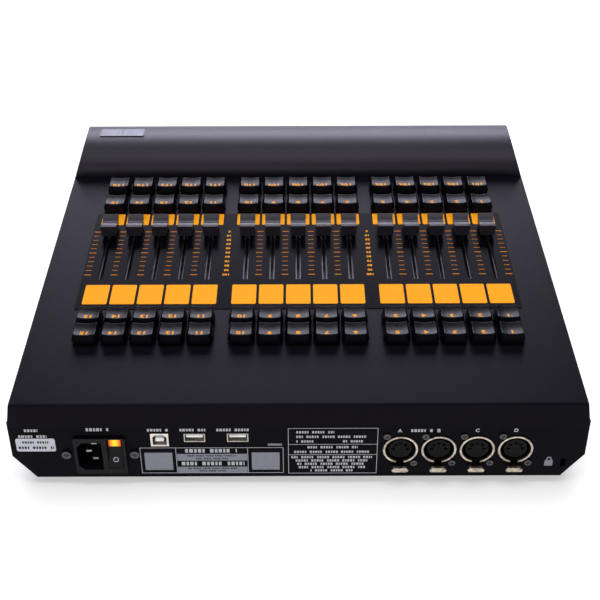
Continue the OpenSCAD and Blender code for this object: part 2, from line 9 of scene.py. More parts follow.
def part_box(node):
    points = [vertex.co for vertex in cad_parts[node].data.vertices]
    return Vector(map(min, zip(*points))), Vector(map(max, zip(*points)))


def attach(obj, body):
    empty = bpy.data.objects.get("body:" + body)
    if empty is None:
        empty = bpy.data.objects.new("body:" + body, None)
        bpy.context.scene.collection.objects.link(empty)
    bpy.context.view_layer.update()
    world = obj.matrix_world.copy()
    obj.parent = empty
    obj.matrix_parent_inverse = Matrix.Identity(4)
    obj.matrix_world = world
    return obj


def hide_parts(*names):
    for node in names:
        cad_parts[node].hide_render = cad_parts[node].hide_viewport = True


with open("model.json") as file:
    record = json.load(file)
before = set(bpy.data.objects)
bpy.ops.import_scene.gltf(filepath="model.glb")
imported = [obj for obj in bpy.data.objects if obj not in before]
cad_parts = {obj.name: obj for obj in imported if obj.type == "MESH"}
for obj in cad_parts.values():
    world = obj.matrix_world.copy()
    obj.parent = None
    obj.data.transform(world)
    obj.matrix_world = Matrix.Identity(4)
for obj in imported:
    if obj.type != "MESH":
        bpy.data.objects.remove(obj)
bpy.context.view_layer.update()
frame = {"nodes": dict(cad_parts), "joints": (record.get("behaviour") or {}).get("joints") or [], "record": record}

# ---- Places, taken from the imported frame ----

MM = 0.001
NODES = frame["nodes"]
MOUNTS = {m["name"]: Vector(m["pos_m"]) / MM for m in frame["record"]["mounts"]}
JOINTS = {j["name"]: j for j in frame["joints"]}
SLOTS = {p["node"]: p["material_slot"] for p in frame["record"]["subparts"]}


def low(node):
    """Lowest corner of a CAD node, in millimetres."""
    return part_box(node)[0] / MM


def high(node):
    """Highest corner of a CAD node, in millimetres."""
    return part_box(node)[1] / MM


def middle(node):
    return (low(node) + high(node)) / 2


PLATE_Z = high("top_cover").z
PANEL_Y = high("rear_panel").y
FILM_Z = high("fader_overlay").z
FADERS = sorted(n for n in NODES if n.startswith("fader_") and n[-2:].isdigit())
COLUMNS = [middle(n).x for n in FADERS]
PER_GROUP = 5
PITCH = COLUMNS[1] - COLUMNS[0]
KEY_NODES = sorted(n for n in NODES if n.startswith("keys_row"))
SOCKETS = ["a", "b", "c", "d"]


def link(obj):
    bpy.context.scene.collection.objects.link(obj)
    return obj


# ---- Finishes ----


class Finish:
    """A material on one principled shader, with short ways to add detail to it."""

    def __init__(self, name, colour, rough, metal=0.0, specular=0.5):
        self.material = bpy.data.materials.new(name)
        self.material.use_nodes = True
        self.tree = self.material.node_tree
        self.shader = self.tree.nodes["Principled BSDF"]
        self.colour = colour
        self.shader.inputs["Base Color"].default_value = (*colour, 1)
        self.shader.inputs["Roughness"].default_value = rough
        self.shader.inputs["Metallic"].default_value = metal
        self.shader.inputs["Specular IOR Level"].default_value = specular
        self.normal = None

    def add(self, kind, **inputs):
        node = self.tree.nodes.new("ShaderNode" + kind)
        for key, value in inputs.items():
            node.inputs[key.replace("_", " ")].default_value = value
        return node

    def join(self, output, target):
        self.tree.links.new(output, target)

    def noise(self, scale, detail=2.0, stretch=(1, 1, 1)):
        """Noise fixed to the object; scale counts its grains in a metre."""
        place = self.add("TexCoord")
        mapping = self.add("Mapping", Scale=stretch)
        noise = self.add("TexNoise", Scale=scale, Detail=detail)
        self.join(place.outputs["Object"], mapping.inputs["Vector"])
        self.join(mapping.outputs["Vector"], noise.inputs["Vector"])
        return noise.outputs["Fac"]

    def ramp(self, value, stops):
        """Turns a value into a colour that runs through the stops (place, colour)."""
        ramp = self.add("ValToRGB")
        band = ramp.color_ramp
        while len(band.elements) < len(stops):
            band.elements.new(0.5)
        for element, (place, colour) in zip(band.elements, stops):
            element.position = place
            element.color = (*colour, 1)
        self.join(value, ramp.inputs["Fac"])
        return ramp.outputs["Color"]

    def vary_colour(self, scale, share, stretch=(1, 1, 1)):
        """Makes the colour darker and lighter by a share of itself, in soft patches."""
        dark = tuple(c * (1 - share) for c in self.colour)
        light = tuple(min(1, c * (1 + share)) for c in self.colour)
        tone = self.ramp(self.noise(scale, 4, stretch), [(0.35, dark), (0.65, light)])
        self.join(tone, self.shader.inputs["Base Color"])
        return self

    def vary_rough(self, scale, least, most, stretch=(1, 1, 1)):
        spread = self.add("MapRange", From_Min=0.3, From_Max=0.7, To_Min=least, To_Max=most)
        self.join(self.noise(scale, 3, stretch), spread.inputs["Value"])
        self.join(spread.outputs["Result"], self.shader.inputs["Roughness"])
        return self

    def relief(self, scale, depth, strength=1.0, stretch=(1, 1, 1)):
        """Adds fine bumps, depth millimetres deep, over those already there."""
        bump = self.add("Bump", Strength=strength, Distance=depth * MM)
        self.join(self.noise(scale, 2, stretch), bump.inputs["Height"])
        if self.normal is not None:
            self.join(self.normal, bump.inputs["Normal"])
        self.normal = bump.outputs["Normal"]
        self.join(self.normal, self.shader.inputs["Normal"])
        return self

    def glow(self, strength):
        """Lights the surface from within, yellow in its middle and redder to the sides."""
        place = self.add("TexCoord")
        axes = self.add("SeparateXYZ")
        offset = self.add("Math")
        offset.operation = "SUBTRACT"
        offset.inputs[1].default_value = 0.5
        away = self.add("Math")
        away.operation = "ABSOLUTE"
        self.join(place.outputs["Generated"], axes.inputs["Vector"])
        self.join(axes.outputs["X"], offset.inputs[0])
        self.join(offset.outputs[0], away.inputs[0])
        warm = self.ramp(away.outputs[0], [(0.1, (1, 0.72, 0.03)), (0.42, (0.9, 0.1, 0.004))])
        self.join(warm, self.shader.inputs["Emission Color"])
        self.shader.inputs["Emission Strength"].default_value = strength
        return self


PAINT_SHEEN = (0.90, 0.84, 1.0, 1)


def powder_coat(name, colour, rough, specular):
    """Painted sheet metal: a fine even grain over a soft, slightly uneven base."""
    coat = Finish(name, colour, rough, specular=specular)
    coat.shader.inputs["Specular Tint"].default_value = PAINT_SHEEN
    coat.vary_colour(300, 0.08)
    coat.vary_rough(600, rough - 0.03, rough + 0.03)
    return coat.relief(1300, 0.05, 0.85).relief(520, 0.04, 0.25)


def plastic(name, colour, rough, specular=0.5, grain=2600):
    moulded = Finish(name, colour, rough, specular=specular)
    moulded.vary_colour(140, 0.1)
    moulded.vary_rough(260, rough - 0.06, rough + 0.06)
    return moulded.relief(grain, 0.015, 0.5)


def ink(name, colour, rough=0.7):
    """Screen print: a solid colour that is a little uneven, with a faint surface."""
    layer = Finish(name, colour, rough, specular=0.06)
    layer.vary_colour(700, 0.04)
    return layer.relief(1800, 0.01, 0.3)


def plating(name, colour, rough, grain=(1, 1, 1), scale=900, share=0.14):
    """Bare or plated metal with fine marks; grain stretches them along an axis."""
    metal = Finish(name, colour, rough, metal=1.0)
    metal.vary_colour(scale / 3, share, grain)
    metal.vary_rough(scale, rough - 0.08, rough + 0.1, grain)
    return metal.relief(scale * 2, 0.01, 0.35, grain)


def circuit_board(name, colour):
    """Solder mask with the faint pattern of the copper under it."""
    board = Finish(name, colour, 0.35, specular=0.5)
    board.vary_colour(220, 0.35, (1, 4, 1))
    return board.relief(500, 0.03, 0.4, (1, 4, 1))


FINISHES = {
    "cover_paint": powder_coat("cover_paint", (0.0044, 0.0037, 0.0066), 0.38, 0.034),
    "tray_paint": powder_coat("tray_paint", (0.0042, 0.0036, 0.0060), 0.44, 0.045),
    "panel_paint": powder_coat("panel_paint", (0.0032, 0.0028, 0.0044), 0.5, 0.04),
    # Painted light: the palm rest takes a paler copy of the cover paint, lightened so the rest reads as lit.
    "rest_paint": powder_coat("rest_paint", (0.0060, 0.0051, 0.0086), 0.43, 0.27),
    "badge_silver": plating("badge_silver", (0.085, 0.085, 0.095), 0.42, (40, 1, 1), 60),
    "overlay_film": powder_coat("overlay_film", (0.0017, 0.0014, 0.0028), 0.24, 0.012),
    "field_orange": ink("field_orange", (0.95, 0.37, 0.009)),
    "switch_black": plastic("switch_black", (0.006, 0.006, 0.007), 0.5),
    # Painted shade: the pot steel, also used for the fader levers, is darkened far below bare steel so the pots
    # read dark down the fader slots.
    "pot_steel": plating("pot_steel", (0.085, 0.085, 0.095), 0.45, (1, 12, 1), 200),
    "board_green": circuit_board("board_green", (0.012, 0.075, 0.028)),
    "chip_black": plastic("chip_black", (0.010, 0.010, 0.011), 0.55),
    "supply_brown": circuit_board("supply_brown", (0.17, 0.11, 0.035)),
    "ribbon_grey": plastic("ribbon_grey", (0.30, 0.30, 0.32), 0.5),
    "wire_blue": plastic("wire_blue", (0.02, 0.09, 0.33), 0.4),
    "inlet_black": plastic("inlet_black", (0.004, 0.0035, 0.005), 0.42, 0.14),
    "pin_nickel": plating("pin_nickel", (0.42, 0.39, 0.34), 0.3),
    "rocker_orange": plastic("rocker_orange", (0.22, 0.03, 0.002), 0.25, 0.2),
    "socket_shell": plating("socket_shell", (0.70, 0.66, 0.60), 0.32),
    "tongue_white": plastic("tongue_white", (0.90, 0.90, 0.90), 0.45),
    "xlr_nickel": plating("xlr_nickel", (0.50, 0.435, 0.36), 0.3, share=0.35),
    "insert_black": plastic("insert_black", (0.003, 0.003, 0.004), 0.5, 0.1),
    "screw_black": plating("screw_black", (0.085, 0.08, 0.08), 0.26),
    "spacer_metal": plating("spacer_metal", (0.55, 0.54, 0.52), 0.35),
    "foot_rubber": plastic("foot_rubber", (0.010, 0.010, 0.010), 0.75, 0.3, 900),
    "key_grey": plastic("key_grey", (0.0030, 0.0024, 0.0042), 0.34, 0.10),
    "fader_grey": plastic("fader_grey", (0.026, 0.023, 0.031), 0.34, 0.18),
}
FINISHES["rocker_orange"].glow(1.1)
TICK_PRINT = ink("tick_print", (0.62, 0.20, 0.008))
WHITE_PRINT = ink("white_print", (0.50, 0.50, 0.54))
BOX_PRINT = ink("box_print", (0.25, 0.255, 0.295))
DARK_PRINT = ink("dark_print", (0.03, 0.03, 0.035))
STICKER = ink("sticker_film", (0.58, 0.585, 0.64), 0.4)
GOLD = plating("contact_gold", (0.80, 0.56, 0.22), 0.28)

# ---- Carried-over CAD nodes ----


def dress(node, width=0.0, segments=2):
    """Gives a CAD node its finish, and rounds its edges by width millimetres."""
    obj = NODES[node]
    obj.data.materials.clear()
    obj.data.materials.append(FINISHES[SLOTS[node]].material)
    if width:
        weld = obj.modifiers.new("weld", "WELD")
        weld.merge_threshold = 2e-6
        round_edges(obj, width, segments)


def round_edges(obj, width, segments=2, least_angle=32):
    bevel = obj.modifiers.new("bevel", "BEVEL")
    bevel.width = width * MM
    bevel.segments = segments
    bevel.limit_method = "ANGLE"
    bevel.angle_limit = math.radians(least_angle)
    bevel.miter_outer = "MITER_ARC"
    bevel.face_strength_mode = "FSTR_ALL"
    bevel.loop_slide = False
    shade = obj.modifiers.new("shade", "WEIGHTED_NORMAL")
    shade.keep_sharp = True
    shade.use_face_influence = True


EDGE_WIDTHS = {
    "top_cover": 0.45, "base_tray": 0.5, "rear_panel": 0.3, "palm_rest": 0.7,
    "badge_plate": 0.15, "fader_overlay": 0.08, "power_inlet": 0.35, "usb_sockets": 0.12,
    "usb_tongues": 0.15, "xlr_housings": 0.25, "xlr_inserts": 0.2, "inlet_pins": 0.3,
    "feet": 0.6, "xlr_screws": 0.3, "inlet_screws": 0.4, "case_screws": 0.12,
    "power_supply": 0.3, "main_board_parts": 0.2,
}
LATCHES = ["latch_" + letter for letter in SOCKETS]
OWN_MESH = {*KEY_NODES, *FADERS, *LATCHES, "power_rocker"}
for name in sorted(set(NODES) - OWN_MESH):
    dress(name, EDGE_WIDTHS.get(name, 0.0))


# ---- Mesh building ----

AXES = {
    "x": Matrix(((0, 0, 1), (1, 0, 0), (0, 1, 0))),
    "y": Matrix(((1, 0, 0), (0, 0, 1), (0, 1, 0))),
    "z": Matrix.Identity(3),
}


class Shape:
    """Collects closed solids in millimetres and makes them one piece."""

    def __init__(self, place=None):
        self.mesh = bmesh.new()
        self.place = place or Matrix.Identity(4)
        self.finish = 0

    def loft(self, rings, hoop=False):
        """Skins rings of points; the ends are capped, or joined up in a hoop."""
        loops = [[self.mesh.verts.new(self.place @ Vector(p)) for p in r] for r in rings]
        faces = []
        for a, b in zip(loops, loops[1:] + loops[:1] if hoop else loops[1:]):
            for i in range(len(a)):
                k = (i + 1) % len(a)
                faces.append(self.mesh.faces.new((a[i], a[k], b[k], b[i])))
        if not hoop:
            faces.append(self.mesh.faces.new(loops[0]))
            faces.append(self.mesh.faces.new(loops[-1]))
        for face in faces:
            face.material_index = self.finish
        return self

    def prism(self, outline, start, end, axis="z"):
        """A solid of one outline along an axis: x takes (y, z), y takes (x, z), z (x, y)."""
        turn = AXES[axis]
        return self.loft([[turn @ Vector((*p, t)) for p in outline] for t in (start, end)])

    def block(self, a, b):
        return self.prism([(a[0], a[1]), (b[0], a[1]), (b[0], b[1]), (a[0], b[1])], a[2], b[2])

    def hoop(self, outer, inner, start, end, axis="z"):
        """A flat ring between two outlines that have the same number of points."""
        turn = AXES[axis]
        order = [(outer, start), (outer, end), (inner, end), (inner, start)]
        return self.loft([[turn @ Vector((*p, t)) for p in o] for o, t in order], True)

    def text(self, words, height, thick, wide=1.0, fit=lambda p: p):
        """Plain digits or letters, centred, standing on z = 0; fit moves each point."""
        mesh = letters(words)
        top = max(v.co.y for v in mesh.vertices)
        base = min(v.co.y for v in mesh.vertices)
        size = height / (top - base)
        verts = []
        for v in mesh.vertices:
            flat = (v.co.x * size * wide, (v.co.y - (top + base) / 2) * size)
            spot = Vector((*flat, thick if v.co.z > 0 else 0))
            verts.append(self.mesh.verts.new(self.place @ fit(spot)))
        for polygon in mesh.polygons:
            face = self.mesh.faces.new([verts[i] for i in polygon.vertices])
            face.material_index = self.finish
        return self

    def piece(self, name, finishes, body="desk", slot=None, replaces=(), bevel=0.0):
        """Finishes the mesh: one object that rides a body and may stand for CAD nodes."""
        bmesh.ops.recalc_face_normals(self.mesh, faces=self.mesh.faces)
        for face in self.mesh.faces:
            face.smooth = True
        for edge in self.mesh.edges:
            edge.smooth = len(edge.link_faces) == 2 and edge.calc_face_angle() < SHARP
        self.mesh.transform(Matrix.Scale(MM, 4))
        data = bpy.data.meshes.new(name)
        self.mesh.to_mesh(data)
        self.mesh.free()
        obj = link(bpy.data.objects.new(name, data))
        for finish in finishes:
            data.materials.append(finish.material)
        if bevel:
            round_edges(obj, bevel)
            for edge in data.edges:
                edge.use_edge_sharp = False
        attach(obj, body)
        if replaces:
            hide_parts(*replaces)
        return obj


SHARP = math.radians(35)
LETTERS = {}
LETTER_WEIGHT = 0.035


def letters(words):
    """The solid mesh of some digits or letters in the built-in face, kept for reuse."""
    if words not in LETTERS:
        curve = bpy.data.curves.new("letters", "FONT")
        curve.body = words
        curve.align_x = "CENTER"
        curve.resolution_u = 3
        curve.extrude = 0.02
        curve.offset = LETTER_WEIGHT
        curve.space_character = 1.08
        holder = link(bpy.data.objects.new("letters", curve))
        depsgraph = bpy.context.evaluated_depsgraph_get()
        LETTERS[words] = bpy.data.meshes.new_from_object(holder.evaluated_get(depsgraph))
        bpy.data.objects.remove(holder)
    return LETTERS[words]


def lerp(a, b, t):
    return tuple(p + (q - p) * t for p, q in zip(a, b))


def circle(x, y, r, n=32):
    turns = [2 * math.pi * i / n for i in range(n)]
    return [(x + r * math.cos(t), y + r * math.sin(t)) for t in turns]


CORNERS = ((1, 1), (-1, 1), (-1, -1), (1, -1))
ARC_STEPS = 5
SIDE_STEPS = 6


def rounded_corner(a, b, r, k):
    """Points round corner k of a rectangle whose half sizes are a and b."""
    cx, cy = CORNERS[k][0] * (a - r), CORNERS[k][1] * (b - r)
    turns = [math.radians(90 * (k + i / ARC_STEPS)) for i in range(ARC_STEPS + 1)]
    return [(cx + r * math.cos(t), cy + r * math.sin(t)) for t in turns]


def cut_corner(a, b, cut, k):
    """The same number of points along a straight cut across corner k."""
    sx, sy = CORNERS[k]
    ends = [(sx * a, sy * (b - cut[1])), (sx * (a - cut[0]), sy * b)]
    if k % 2:
        ends.reverse()
    return [lerp(*ends, i / ARC_STEPS) for i in range(ARC_STEPS + 1)]


def around(corners):
    """One ring: four corners' points, joined by points along the straight sides."""
    ring = []
    for k in range(4):
        ring += corners[k]
        here, there = corners[k][-1], corners[(k + 1) % 4][0]
        ring += [lerp(here, there, i / SIDE_STEPS) for i in range(1, SIDE_STEPS)]
    return ring


def round_box(a, b, r):
    return around([rounded_corner(a, b, r, k) for k in range(4)])


def plain_round_box(u0, v0, u1, v1, r):
    """A rectangle from corner to corner with rounded corners."""
    cx, cy = (u0 + u1) / 2, (v0 + v1) / 2
    return [(cx + x, cy + y) for x, y in round_box((u1 - u0) / 2, (v1 - v0) / 2, r)]


# ---- Keys ----

KEY_TOP = (15.3, 14.3)
KEY_CUT = (2.4, 5.5)
KEY_CORNER = 1.1
KEY_FILLET = 0.55
KEY_DISH = 1.8
KEY_ROOF = 1.4
KEY_WALL = 0.88
KEY_SKIRT = 0.5
DIGIT_HEIGHT = 4.1
DIGIT_EDGE = 3.25
DIGIT_THICK = 0.1
DIGIT_WIDE = 1.2
DIGIT_SUNK = 0.03
FIRST_LONG_NUMBER = 101


def dish_drop(x, y):
    """How far the dished top lies below its corners at a point."""
    reach = (KEY_TOP[0] / 2) ** 2 + (KEY_TOP[1] / 2) ** 2
    return KEY_DISH * (1 - min(1, (x * x + y * y) / reach))


def key_cap(shape, x, y, foot, base, top):
    """A hollow key: a foot with cut corners, sloping sides, a rounded rim, a dished top."""
    a, b = KEY_TOP[0] / 2, KEY_TOP[1] / 2
    skirt = around([cut_corner(foot[0] / 2, foot[1] / 2, KEY_CUT, k) for k in range(4)])
    rim = round_box(a, b, KEY_CORNER)
    rings = []

    def ring(points, z, dished=0.0):
        rings.append([(x + px, y + py, z - dished * dish_drop(px, py)) for px, py in points])

    ring([(px * KEY_WALL, py * KEY_WALL) for px, py in rim], top - KEY_DISH - KEY_ROOF)
    ring([(px * KEY_WALL, py * KEY_WALL) for px, py in skirt], base)
    ring(skirt, base)
    ring(skirt, base + KEY_SKIRT)
    shoulder = top - KEY_FILLET
    for t in (0.4, 0.75):
        side = [lerp(p, q, t) for p, q in zip(skirt, rim)]
        ring(side, base + KEY_SKIRT + (shoulder - base - KEY_SKIRT) * t, t * t)
    for angle in (0, 30, 60, 90):
        turn = math.radians(angle)
        inset = KEY_FILLET * (1 - math.cos(turn))
        outline = round_box(a - inset, b - inset, KEY_CORNER - inset / 2)
        ring(outline, shoulder + KEY_FILLET * math.sin(turn), 1.0)
    for share in (0.93, 0.8, 0.62, 0.44, 0.26, 0.1):
        ring([(px * share, py * share) for px, py in outline], top, 1.0)
    shape.loft(rings)


def key_numbers(node):
    """The numbers on a node's keys: its columns, counted from the user's left."""
    row, group = int(node[len("keys_row")]), int(node[-1])
    first = (group - 1) * PER_GROUP
    start = FIRST_LONG_NUMBER if row == 4 else 1
    return [(COLUMNS[i], str(start + i)) for i in range(first, first + PER_GROUP)]


def make_keys(node):
    y, top, base = middle(node).y, high(node).z, low(node).z
    foot = (high(node).x - low(node).x - (PER_GROUP - 1) * PITCH, high(node).y - low(node).y)
    caps, digits = Shape(), Shape()
    for x, number in key_numbers(node):
        key_cap(caps, x, y, foot, base, top)
        rise = KEY_TOP[1] / 2 - DIGIT_EDGE

        def on_dish(p, x=x):
            drop = dish_drop(p.x, p.y + rise)
            return Vector((x + p.x, y + rise + p.y, top - drop - DIGIT_SUNK + p.z))

        digits.text(number, DIGIT_HEIGHT, DIGIT_THICK, DIGIT_WIDE, on_dish)
    caps.piece(node + "_caps", [FINISHES["key_grey"]], node, "key_grey", [node])
    digits.piece(node + "_numbers", [FINISHES["field_orange"]], node, "field_orange")


for name in KEY_NODES:
    make_keys(name)

# ---- Faders ----

CAP_TAPER = 0.7
CAP_VALLEY = 2.4
CAP_LIP = 0.9
CAP_CHAMFER = 0.35
CAP_GAP = 2.6
CAP_BEVEL = 0.38
GROOVE = (0.8, 0.45)
LEVER = (1.2, 4.0)
LEVER_GRIP = 1
CARRIAGE = (6, 10, 3.2)
CARRIAGE_LAP = 0.2


def saddle(half, base, top, steps=14):
    """Side view of a fader cap: upright ends, a hollow top and a groove in its middle."""
    wide, bend = half - CAP_LIP, CAP_CHAMFER
    radius = (wide * wide + CAP_VALLEY ** 2) / (2 * CAP_VALLEY)
    points = [(-half, base), (half, base), (half, top - bend), (half - bend, top), (wide, top)]
    for i in range(1, steps):
        y = wide * (1 - 2 * i / steps)
        z = top - CAP_VALLEY + radius - math.sqrt(radius * radius - y * y)
        points.append((y, z))
    middle_point = len(points) - steps // 2
    valley = points[middle_point][1]
    w, d = GROOVE[0] / 2, GROOVE[1]
    groove = [(w, valley + 0.02), (w, valley - d), (-w, valley - d), (-w, valley + 0.02)]
    points[middle_point:middle_point + 1] = groove
    return points + [(-wide, top), (bend - half, top), (-half, top - bend)]


def make_fader(node):
    """A cap that narrows a little downwards, on a steel lever with its carriage."""
    centre, floor = middle(node), low(node).z
    top = high(node).z
    base = PLATE_Z + CAP_GAP
    half_w = (high(node).x - low(node).x) / 2
    half_l = (high(node).y - low(node).y) / 2
    side = saddle(half_l, base, top)
    cap = Shape(Matrix.Translation((centre.x, centre.y, 0)))
    rings = []
    for s in (-1, 1):
        narrow = [half_w - CAP_TAPER * (top - z) / (top - base) for y, z in side]
        rings.append([(s * n, y, z) for n, (y, z) in zip(narrow, side)])
    cap.loft(rings)
    cap.piece(node + "_cap", [FINISHES["fader_grey"]], node, "fader_grey", [node], CAP_BEVEL)
    lever = Shape(Matrix.Translation((centre.x, centre.y, 0)))
    w, d = LEVER[0] / 2, LEVER[1] / 2
    seat = floor + CARRIAGE[2]
    lever.block((-w, -d, seat - CARRIAGE_LAP), (w, d, base + LEVER_GRIP))
    lever.finish = 1
    w, d = CARRIAGE[0] / 2, CARRIAGE[1] / 2
    lever.block((-w, -d, floor), (w, d, seat))
    lever.piece(node + "_lever", [FINISHES["pot_steel"], FINISHES["switch_black"]], node, bevel=0.15)


for name in FADERS:
    make_fader(name)

# ---- Scales printed beside the faders ----

TICK = (4.3, 0.55)
LONG_TICK = (5.1, 0.85)
STEPS = 10
INK_THICK = 0.06
INK_SUNK = 0.02
NEXT_COLUMN = 1.2 * PITCH
SCALE_DIGITS = 2.7
ZERO_Y = middle(FADERS[0]).y
TRAVEL = JOINTS[FADERS[0] + "_slide"]["range_m"][1] / MM


def make_scales():
    """Ten-step scales between the columns, and numbers in the gaps between groups."""
    ticks, numbers = Shape(), Shape()
    gaps = list(zip(COLUMNS, COLUMNS[1:]))
    between = [(a + b) / 2 for a, b in gaps if b - a < NEXT_COLUMN]
    ends = [COLUMNS[0] - PITCH / 2, COLUMNS[-1] + PITCH / 2]
    for step in range(STEPS + 1):
        y = ZERO_Y + TRAVEL * step / STEPS
        w, h = LONG_TICK if step % 5 == 0 else TICK
        for x in between + ends:
            start = (x - w / 2, y - h / 2, FILM_Z - INK_SUNK)
            ticks.block(start, (x + w / 2, y + h / 2, FILM_Z + INK_THICK))
        for a, b in gaps:
            if b - a > NEXT_COLUMN:
                numbers.place = Matrix.Translation(((a + b) / 2, y, FILM_Z - INK_SUNK))
                numbers.text(str(step * 10), SCALE_DIGITS, INK_THICK)
    ticks.piece("scale_ticks", [TICK_PRINT], slot="field_orange")
    numbers.piece("scale_numbers", [FINISHES["field_orange"]], slot="field_orange")


make_scales()

# ---- Power rocker ----

ROCKER_REST = math.radians(8)
ROCKER_FACE = (3.7, 5.0)
ROCKER_HALF = (4.9, 12.2)
ROCKER_EDGE = 1
ROCKER_KEEL = (8, 4)
TRUNNION_RADIUS = 1.5
LENS = (4.0, 5.2, 11.5)
LENS_PROUD = 0.25
LENS_SUNK = 1
OFF_MARK = (1.9, 1.35, -5.8)


def make_rocker():
    """A black rocker with a lit lens in its upper end and a ring mark on its lower one."""
    lo, hi = low("power_rocker"), high("power_rocker")
    pivot = Vector(JOINTS["rocker_tilt"]["pos_m"]) / MM
    place = Matrix.Translation(pivot) @ Matrix.Rotation(ROCKER_REST, 4, "X")
    half_w, half = ROCKER_HALF
    near, far = ROCKER_FACE

    def face(z):
        return near + (far - near) * abs(z) / half

    shape = Shape(place)
    front = [(face(half), half), (near, 0), (face(half), -half)]
    deep, low_half = ROCKER_KEEL
    back = [(ROCKER_EDGE, -half), (-deep, -low_half), (-deep, low_half), (ROCKER_EDGE, half)]
    shape.prism(front + back, -half_w, half_w, "x")
    shape.prism(circle(0, 0, TRUNNION_RADIUS, 24), lo.x - pivot.x, hi.x - pivot.x, "x")
    black = [FINISHES["inlet_black"]]
    shape.piece("rocker_body", black, "power_rocker", "inlet_black", ["power_rocker"], 0.3)
    lens = Shape(place)
    w, z0, z1 = LENS
    skin = [(face(z0) + LENS_PROUD, z0), (face(z1) + LENS_PROUD, z1)]
    inside = [(face(z1) - LENS_SUNK, z1), (face(z0) - LENS_SUNK, z0)]
    lens.prism(skin + inside, -w, w, "x")
    lit = [FINISHES["rocker_orange"]]
    lens.piece("rocker_lens", lit, "power_rocker", "rocker_orange", bevel=0.15)
    outer, inner, z = OFF_MARK
    lean = math.atan2(near - far, half)
    flat = place @ Matrix.Translation((0, face(z), z)) @ Matrix.Rotation(-lean, 4, "X")
    mark = Shape(flat)
    mark.hoop(circle(0, 0, outer), circle(0, 0, inner), -0.1, 0.08, "y")
    mark.piece("rocker_off_mark", [WHITE_PRINT], "power_rocker")


make_rocker()

# ---- Latch buttons of the output sockets ----

LATCH_TAB = 3.4
LATCH_NECK = (2.0, 1.25)
LATCH_ROUND = 0.8
LATCH_SWELL = 0.25


def make_latch(node):
    """A rounded metal tab on a dark neck that runs into its socket."""
    lo, hi, mid = low(node), high(node), middle(node)
    half_w, half_h = (hi.x - lo.x) / 2, (hi.z - lo.z) / 2 + LATCH_SWELL
    tab = Shape()
    rings = []

    def ring(y, inset):
        outline = round_box(half_w - inset, half_h - inset, half_h - inset - 0.05)
        rings.append([(mid.x + x, y, mid.z + z) for x, z in outline])

    back = hi.y - LATCH_TAB
    ring(back, 0.4)
    ring(back + 0.4, 0.0)
    for angle in (0, 30, 60, 80):
        turn = math.radians(angle)
        inset = LATCH_ROUND * (1 - math.cos(turn))
        ring(hi.y - LATCH_ROUND * (1 - math.sin(turn)), inset)
    tab.loft(rings)
    tab.piece(node + "_tab", [FINISHES["xlr_nickel"]], node, "xlr_nickel", [node])
    neck = Shape()
    w, h = LATCH_NECK
    neck.block((mid.x - w, lo.y, mid.z - h), (mid.x + w, back + 0.5, mid.z + h))
    neck.piece(node + "_neck", [FINISHES["insert_black"]], node, "insert_black", bevel=0.2)


for name in LATCHES:
    make_latch(name)

# ---- Contacts in the sockets ----

CONTACT_CIRCLE = 4.8
CONTACT_TUBE = (1.25, 0.85)
CONTACT_DEPTHS = (11, 2.2)
LINER_RADII = (10.45, 9.9)
LINER_DEPTHS = (20.5, 0.3)
STRIPS = 4
STRIP_PITCH = 2.5
STRIP_HALF = 0.5
STRIP_DEPTHS = (10, 1.8)


def make_contacts():
    """Sprung gold contacts: five tubes in each output socket, four strips on each tongue."""
    tubes, liners = Shape(), Shape()
    for letter in SOCKETS:
        socket = MOUNTS["output_socket_" + letter]
        for turn in range(0, 181, 45):
            a = math.radians(turn)
            x = socket.x + CONTACT_CIRCLE * math.cos(a)
            z = socket.z + CONTACT_CIRCLE * math.sin(a)
            tube = [circle(x, z, r, 20) for r in CONTACT_TUBE]
            tubes.hoop(*tube, *[PANEL_Y - depth for depth in CONTACT_DEPTHS], "y")
        liner = [circle(socket.x, socket.z, r, 64) for r in LINER_RADII]
        liners.hoop(*liner, *[PANEL_Y - depth for depth in LINER_DEPTHS], "y")
    tubes.piece("xlr_contacts", [GOLD], slot="pin_nickel")
    liners.piece("xlr_liners", [FINISHES["insert_black"]], slot="insert_black")
    strips = Shape()
    for port in ("usb_a_port_1", "usb_a_port_2"):
        spot = MOUNTS[port]
        near, far = [PANEL_Y - depth for depth in STRIP_DEPTHS]
        for k in range(STRIPS):
            x = spot.x + STRIP_PITCH * (k - (STRIPS - 1) / 2)
            z = spot.z + 0.05
            strips.block((x - STRIP_HALF, near, z - 0.06), (x + STRIP_HALF, far, z + 0.02))
    strips.piece("usb_contacts", [GOLD], slot="pin_nickel")


make_contacts()

# ---- Printing on the connector panel ----

# Seen from behind: u runs to the viewer's right, v up from the top plate, w out of the panel
PANEL = Matrix(((-1, 0, 0, 0), (0, 0, 1, PANEL_Y), (0, 1, 0, PLATE_Z), (0, 0, 0, 1)))
PRINT = (-0.02, 0.05)
LINE = 0.36
INDEX_V = -27.1
INDEX_HEIGHT = 3.0


def bar(shape, u0, v0, u1, v1):
    shape.block((u0, v0, PRINT[0]), (u1, v1, PRINT[1]))


def outline_box(shape, u0, v0, u1, v1):
    """A thin printed frame, in four bars that meet without overlapping."""
    bar(shape, u0, v0, u1, v0 + LINE)
    bar(shape, u0, v1 - LINE, u1, v1)
    bar(shape, u0, v0 + LINE, u0 + LINE, v1 - LINE)
    bar(shape, u1 - LINE, v0 + LINE, u1, v1 - LINE)


def blind_line(shape, u0, u1, v, height, seed=1):
    """A row of plain blocks that stands where a line of wording would be."""
    u, k = u0, seed
    while u < u1:
        length = min(height * (0.45 + 0.3 * ((k * 7) % 5) / 4), u1 - u)
        if k % 6:
            bar(shape, u, v - height / 2, u + length, v + height / 2)
        u += length + height * 0.28
        k += 1


